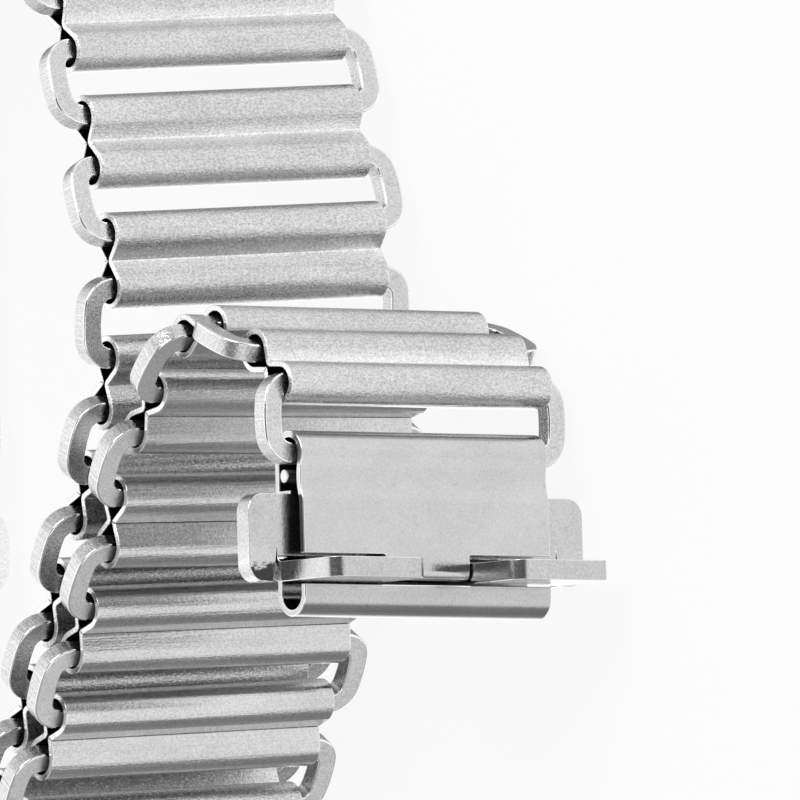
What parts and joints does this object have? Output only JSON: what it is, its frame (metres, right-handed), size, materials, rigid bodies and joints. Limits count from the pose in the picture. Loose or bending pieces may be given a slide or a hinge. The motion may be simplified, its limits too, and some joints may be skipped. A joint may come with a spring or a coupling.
{
  "type": "ladder link watch bracelet",
  "caption": "Steel ladder watch bracelet of rolled double-tube links joined by side clips, with a folded sheet clasp and a sliding clawed latch plate.",
  "frame": {"origin": "centre of the tail link's open tube, halfway along its length", "axes": "+Z along the tail link's tubes, across the band; the band leaves the origin 10 degrees from +Y towards -X and is stored folded along the XY plane, with its last links and the clasp leaning 4 degrees from +Z in the play of eight hinges"},
  "size_m": [0.0604, 0.0555, 0.0208],
  "materials": {
    "links": "satin, fine streaks along the tubes",
    "side_clips": "matt tumbled face with bright edges",
    "clasp": "fine matt face with bright cut edges",
    "latch": "matt faces with polished bends and edges"
  },
  "bodies": {
    "link_01": {"link_01": "links"},
    "side_clips_01": {"side_clips_01": "side_clips"},
    "link_02": {"link_02": "links"},
    "side_clips_02": {"side_clips_02": "side_clips"},
    "link_03": {"link_03": "links"},
    "side_clips_03": {"side_clips_03": "side_clips"},
    "link_04": {"link_04": "links"},
    "side_clips_04": {"side_clips_04": "side_clips"},
    "link_05": {"link_05": "links"},
    "side_clips_05": {"side_clips_05": "side_clips"},
    "link_06": {"link_06": "links"},
    "side_clips_06": {"side_clips_06": "side_clips"},
    "link_07": {"link_07": "links"},
    "side_clips_07": {"side_clips_07": "side_clips"},
    "link_08": {"link_08": "links"},
    "side_clips_08": {"side_clips_08": "side_clips"},
    "link_09": {"link_09": "links"},
    "side_clips_09": {"side_clips_09": "side_clips"},
    "link_10": {"link_10": "links"},
    "side_clips_10": {"side_clips_10": "side_clips"},
    "link_11": {"link_11": "links"},
    "side_clips_11": {"side_clips_11": "side_clips"},
    "link_12": {"link_12": "links"},
    "side_clips_12": {"side_clips_12": "side_clips"},
    "link_13": {"link_13": "links"},
    "side_clips_13": {"side_clips_13": "side_clips"},
    "link_14": {"link_14": "links"},
    "side_clips_14": {"side_clips_14": "side_clips"},
    "link_15": {"link_15": "links"},
    "side_clips_15": {"side_clips_15": "side_clips"},
    "link_16": {"link_16": "links"},
    "side_clips_16": {"side_clips_16": "side_clips"},
    "link_17": {"link_17": "links"},
    "side_clips_17": {"side_clips_17": "side_clips"},
    "link_18": {"link_18": "links"},
    "side_clips_18": {"side_clips_18": "side_clips"},
    "link_19": {"link_19": "links"},
    "side_clips_19": {"side_clips_19": "side_clips"},
    "link_20": {"link_20": "links"},
    "side_clips_20": {"side_clips_20": "side_clips"},
    "link_21": {"link_21": "links"},
    "side_clips_21": {"side_clips_21": "side_clips"},
    "link_22": {"link_22": "links"},
    "side_clips_22": {"side_clips_22": "side_clips"},
    "link_23": {"link_23": "links"},
    "side_clips_23": {"side_clips_23": "side_clips"},
    "link_24": {"link_24": "links"},
    "side_clips_24": {"side_clips_24": "side_clips"},
    "link_25": {"link_25": "links"},
    "side_clips_25": {"side_clips_25": "side_clips"},
    "link_26": {"link_26": "links"},
    "side_clips_26": {"side_clips_26": "side_clips"},
    "link_27": {"link_27": "links"},
    "side_clips_27": {"side_clips_27": "side_clips"},
    "clasp": {"clasp_body": "clasp", "cross_pin": "latch"},
    "latch": {"latch_plate": "latch"}
  },
  "joints": [
    {"name": "side_clips_01_on_link_01", "type": "hinge", "parent": "link_01", "child": "side_clips_01", "pos_m": [-0.00046, 0.00261, 0], "axis": [0, 0, -1], "range_deg": [-45, 40]},
    {"name": "link_02_on_side_clips_01", "type": "hinge", "parent": "side_clips_01", "child": "link_02", "pos_m": [-0.00101, 0.00607, 0], "axis": [0, 0, 1], "range_deg": [-40, 45]},
    {"name": "side_clips_02_on_link_02", "type": "hinge", "parent": "link_02", "child": "side_clips_02", "pos_m": [-0.00138, 0.00869, 0], "axis": [0, 0, -1], "range_deg": [-45, 40]},
    {"name": "link_03_on_side_clips_02", "type": "hinge", "parent": "side_clips_02", "child": "link_03", "pos_m": [-0.0018, 0.01216, 0], "axis": [0, 0, 1], "range_deg": [-40, 45]},
    {"name": "side_clips_03_on_link_03", "type": "hinge", "parent": "link_03", "child": "side_clips_03", "pos_m": [-0.00208, 0.0148, 0], "axis": [0, 0, -1], "range_deg": [-45, 40]},
    {"name": "link_04_on_side_clips_03", "type": "hinge", "parent": "side_clips_03", "child": "link_04", "pos_m": [-0.00239, 0.01829, 0], "axis": [0, 0, 1], "range_deg": [-40, 45]},
    {"name": "side_clips_04_on_link_04", "type": "hinge", "parent": "link_04", "child": "side_clips_04", "pos_m": [-0.00257, 0.02093, 0], "axis": [0, 0, -1], "range_deg": [-45, 40]},
    {"name": "link_05_on_side_clips_04", "type": "hinge", "parent": "side_clips_04", "child": "link_05", "pos_m": [-0.00275, 0.02443, 0], "axis": [0, 0, 1], "range_deg": [-40, 45]},
    {"name": "side_clips_05_on_link_05", "type": "hinge", "parent": "link_05", "child": "side_clips_05", "pos_m": [-0.00285, 0.02707, 0], "axis": [0, 0, -1], "range_deg": [-45, 40]},
    {"name": "link_06_on_side_clips_05", "type": "hinge", "parent": "side_clips_05", "child": "link_06", "pos_m": [-0.00291, 0.03057, 0], "axis": [0, 0, 1], "range_deg": [-40, 45]},
    {"name": "side_clips_06_on_link_06", "type": "hinge", "parent": "link_06", "child": "side_clips_06", "pos_m": [-0.00291, 0.03322, 0], "axis": [0, 0, -1], "range_deg": [-55, 30]},
    {"name": "link_07_on_side_clips_06", "type": "hinge", "parent": "side_clips_06", "child": "link_07", "pos_m": [-0.00215, 0.03664, 0], "axis": [0, 0, 1], "range_deg": [-30, 55]},
    {"name": "side_clips_07_on_link_07", "type": "hinge", "parent": "link_07", "child": "side_clips_07", "pos_m": [-0.00103, 0.03904, 0], "axis": [0, 0, -1], "range_deg": [-55, 30]},
    {"name": "link_08_on_side_clips_07", "type": "hinge", "parent": "side_clips_07", "child": "link_08", "pos_m": [0.0011, 0.04182, 0], "axis": [0, 0, 1], "range_deg": [-30, 55]},
    {"name": "side_clips_08_on_link_08", "type": "hinge", "parent": "link_08", "child": "side_clips_08", "pos_m": [0.00313, 0.04352, 0], "axis": [0, 0, -1], "range_deg": [-55, 30]},
    {"name": "link_09_on_side_clips_08", "type": "hinge", "parent": "side_clips_08", "child": "link_09", "pos_m": [0.00624, 0.04514, 0], "axis": [0, 0, 1], "range_deg": [-30, 55]},
    {"name": "side_clips_09_on_link_09", "type": "hinge", "parent": "link_09", "child": "side_clips_09", "pos_m": [0.0088, 0.04582, 0], "axis": [0, 0, -1], "range_deg": [-45, 35]},
    {"name": "link_10_on_side_clips_09", "type": "hinge", "parent": "side_clips_09", "child": "link_10", "pos_m": [0.01221, 0.04661, 0], "axis": [0, 0, 1], "range_deg": [-30, 45]},
    {"name": "side_clips_10_on_link_10", "type": "hinge", "parent": "link_10", "child": "side_clips_10", "pos_m": [0.01481, 0.04712, 0], "axis": [0, 0, -1], "range_deg": [-55, 30]},
    {"name": "link_11_on_side_clips_10", "type": "hinge", "parent": "side_clips_10", "child": "link_11", "pos_m": [0.01831, 0.04703, 0], "axis": [0, 0, 1], "range_deg": [-25, 55]},
    {"name": "side_clips_11_on_link_11", "type": "hinge", "parent": "link_11", "child": "side_clips_11", "pos_m": [0.02088, 0.04638, 0], "axis": [0, 0, -1], "range_deg": [-55, 25]},
    {"name": "link_12_on_side_clips_11", "type": "hinge", "parent": "side_clips_11", "child": "link_12", "pos_m": [0.02401, 0.04482, 0], "axis": [0, 0, 1], "range_deg": [-25, 55]},
    {"name": "side_clips_12_on_link_12", "type": "hinge", "parent": "link_12", "child": "side_clips_12", "pos_m": [0.02607, 0.04316, 0], "axis": [0, 0, -1], "range_deg": [-55, 25]},
    {"name": "link_13_on_side_clips_12", "type": "hinge", "parent": "side_clips_12", "child": "link_13", "pos_m": [0.02825, 0.04042, 0], "axis": [0, 0, 1], "range_deg": [-30, 55]},
    {"name": "side_clips_13_on_link_13", "type": "hinge", "parent": "link_13", "child": "side_clips_13", "pos_m": [0.02941, 0.03803, 0], "axis": [0, 0, -1], "range_deg": [-40, 35]},
    {"name": "link_14_on_side_clips_13", "type": "hinge", "parent": "side_clips_13", "child": "link_14", "pos_m": [0.031, 0.03492, 0], "axis": [0, 0, 1], "range_deg": [-40, 40]},
    {"name": "side_clips_14_on_link_14", "type": "hinge", "parent": "link_14", "child": "side_clips_14", "pos_m": [0.03224, 0.03258, 0], "axis": [0, 0, -1], "range_deg": [-50, 40]},
    {"name": "link_15_on_side_clips_14", "type": "hinge", "parent": "side_clips_14", "child": "link_15", "pos_m": [0.03361, 0.02935, 0], "axis": [0, 0, 1], "range_deg": [-40, 50]},
    {"name": "side_clips_15_on_link_15", "type": "hinge", "parent": "link_15", "child": "side_clips_15", "pos_m": [0.03443, 0.02683, 0], "axis": [0, 0, -1], "range_deg": [-35, 50]},
    {"name": "link_16_on_side_clips_15", "type": "hinge", "parent": "side_clips_15", "child": "link_16", "pos_m": [0.03585, 0.02364, 0], "axis": [0, 0, 1], "range_deg": [-25, 60]},
    {"name": "side_clips_16_on_link_16", "type": "hinge", "parent": "link_16", "child": "side_clips_16", "pos_m": [0.03608, 0.021, 0], "axis": [0, 0, -1], "range_deg": [-50, 35]},
    {"name": "link_17_on_side_clips_16", "type": "hinge", "parent": "side_clips_16", "child": "link_17", "pos_m": [0.03596, 0.0175, 0], "axis": [0, 0, 1], "range_deg": [-35, 55]},
    {"name": "side_clips_17_on_link_17", "type": "hinge", "parent": "link_17", "child": "side_clips_17", "pos_m": [0.03541, 0.01491, 0], "axis": [0, 0, -1], "range_deg": [-30, 35]},
    {"name": "link_18_on_side_clips_17", "type": "hinge", "parent": "side_clips_17", "child": "link_18", "pos_m": [0.03416, 0.01164, 0], "axis": [0, 0, 1], "range_deg": [-40, 5]},
    {"name": "side_clips_18_on_link_18", "type": "hinge", "parent": "link_18", "child": "side_clips_18", "pos_m": [0.03308, 0.00922, 0], "axis": [0, 0, -1], "range_deg": [0, 40]},
    {"name": "link_19_on_side_clips_18", "type": "hinge", "parent": "side_clips_18", "child": "link_19", "pos_m": [0.0316, 0.00605, 0], "axis": [0, 0, 1], "range_deg": [-45, 0]},
    {"name": "side_clips_19_on_link_19", "type": "hinge", "parent": "link_19", "child": "side_clips_19", "pos_m": [0.03048, 0.00364, 0], "axis": [0, 0, -1], "range_deg": [0, 40]},
    {"name": "link_20_on_side_clips_19", "type": "hinge", "parent": "side_clips_19", "child": "link_20", "pos_m": [0.02895, 0.0005, 0], "axis": [0, 0, 1], "range_deg": [-45, 0]},
    {"name": "side_clips_20_on_link_20", "type": "hinge", "parent": "link_20", "child": "side_clips_20", "pos_m": [0.02778, -0.00188, 0], "axis": [0, 0, -1], "range_deg": [0, 40]},
    {"name": "link_21_on_side_clips_20", "type": "hinge", "parent": "side_clips_20", "child": "link_21", "pos_m": [0.02614, -0.00497, 0], "axis": [0, 0, 1], "range_deg": [-135, 0]},
    {"name": "side_clips_21_on_link_21", "type": "hinge", "parent": "link_21", "child": "side_clips_21", "pos_m": [0.02849, -0.0062, 0], "axis": [0, 0, -1], "range_deg": [0, 135]},
    {"name": "link_22_on_side_clips_21", "type": "hinge", "parent": "side_clips_21", "child": "link_22", "pos_m": [0.03007, -0.00308, 0], "axis": [0, 0, 1], "range_deg": [-40, 0]},
    {"name": "side_clips_22_on_link_22", "type": "hinge", "parent": "link_22", "child": "side_clips_22", "pos_m": [0.03136, -0.00076, 0], "axis": [0, 0, -1], "range_deg": [0, 45]},
    {"name": "link_23_on_side_clips_22", "type": "hinge", "parent": "side_clips_22", "child": "link_23", "pos_m": [0.03284, 0.00241, 0], "axis": [0.0044, 0.0095, 0.9999], "range_deg": [-40, 0]},
    {"name": "side_clips_23_on_link_23", "type": "hinge", "parent": "link_23", "child": "side_clips_23", "pos_m": [0.03412, 0.00473, -0.00003], "axis": [-0.0044, -0.0095, -0.9999], "range_deg": [0, 45]},
    {"name": "link_24_on_side_clips_23", "type": "hinge", "parent": "side_clips_23", "child": "link_24", "pos_m": [0.03582, 0.00779, -0.0001], "axis": [0.0146, 0.0278, 0.9995], "range_deg": [-30, 0]},
    {"name": "side_clips_24_on_link_24", "type": "hinge", "parent": "link_24", "child": "side_clips_24", "pos_m": [0.03637, 0.01038, -0.00018], "axis": [-0.0146, -0.0278, -0.9995], "range_deg": [-5, 30]},
    {"name": "link_25_on_side_clips_24", "type": "hinge", "parent": "side_clips_24", "child": "link_25", "pos_m": [0.03785, 0.01355, -0.00033], "axis": [0.0234, 0.0468, 0.9986], "range_deg": [-30, 30]},
    {"name": "side_clips_25_on_link_25", "type": "hinge", "parent": "link_25", "child": "side_clips_25", "pos_m": [0.0394, 0.01569, -0.00046], "axis": [-0.0234, -0.0468, -0.9986], "range_deg": [-45, 40]},
    {"name": "link_26_on_side_clips_25", "type": "hinge", "parent": "side_clips_25", "child": "link_26", "pos_m": [0.04156, 0.01844, -0.00068], "axis": [0.0363, 0.0632, 0.9973], "range_deg": [-5, 80]},
    {"name": "side_clips_26_on_link_26", "type": "hinge", "parent": "link_26", "child": "side_clips_26", "pos_m": [0.04412, 0.01908, -0.00081], "axis": [-0.0363, -0.0632, -0.9973], "range_deg": [-70, 15]},
    {"name": "link_27_on_side_clips_26", "type": "hinge", "parent": "side_clips_26", "child": "link_27", "pos_m": [0.0475, 0.01817, -0.00092], "axis": [0.0464, 0.0605, 0.9971], "range_deg": [-25, 60]},
    {"name": "side_clips_27_on_link_27", "type": "hinge", "parent": "link_27", "child": "side_clips_27", "pos_m": [0.04972, 0.01673, -0.00093], "axis": [-0.0464, -0.0605, -0.9971], "range_deg": [-90, 0]},
    {"name": "clasp_on_side_clips_27", "type": "hinge", "parent": "side_clips_27", "child": "clasp", "pos_m": [0.05021, 0.01327, -0.00074], "axis": [0.0464, 0.0605, 0.9971], "range_deg": [-45, 45]},
    {"name": "latch_slide", "type": "slide", "parent": "clasp", "child": "latch", "axis": [-0.14, 0.9887, -0.0535], "range_m": [0, 0.0003]}
  ]
}
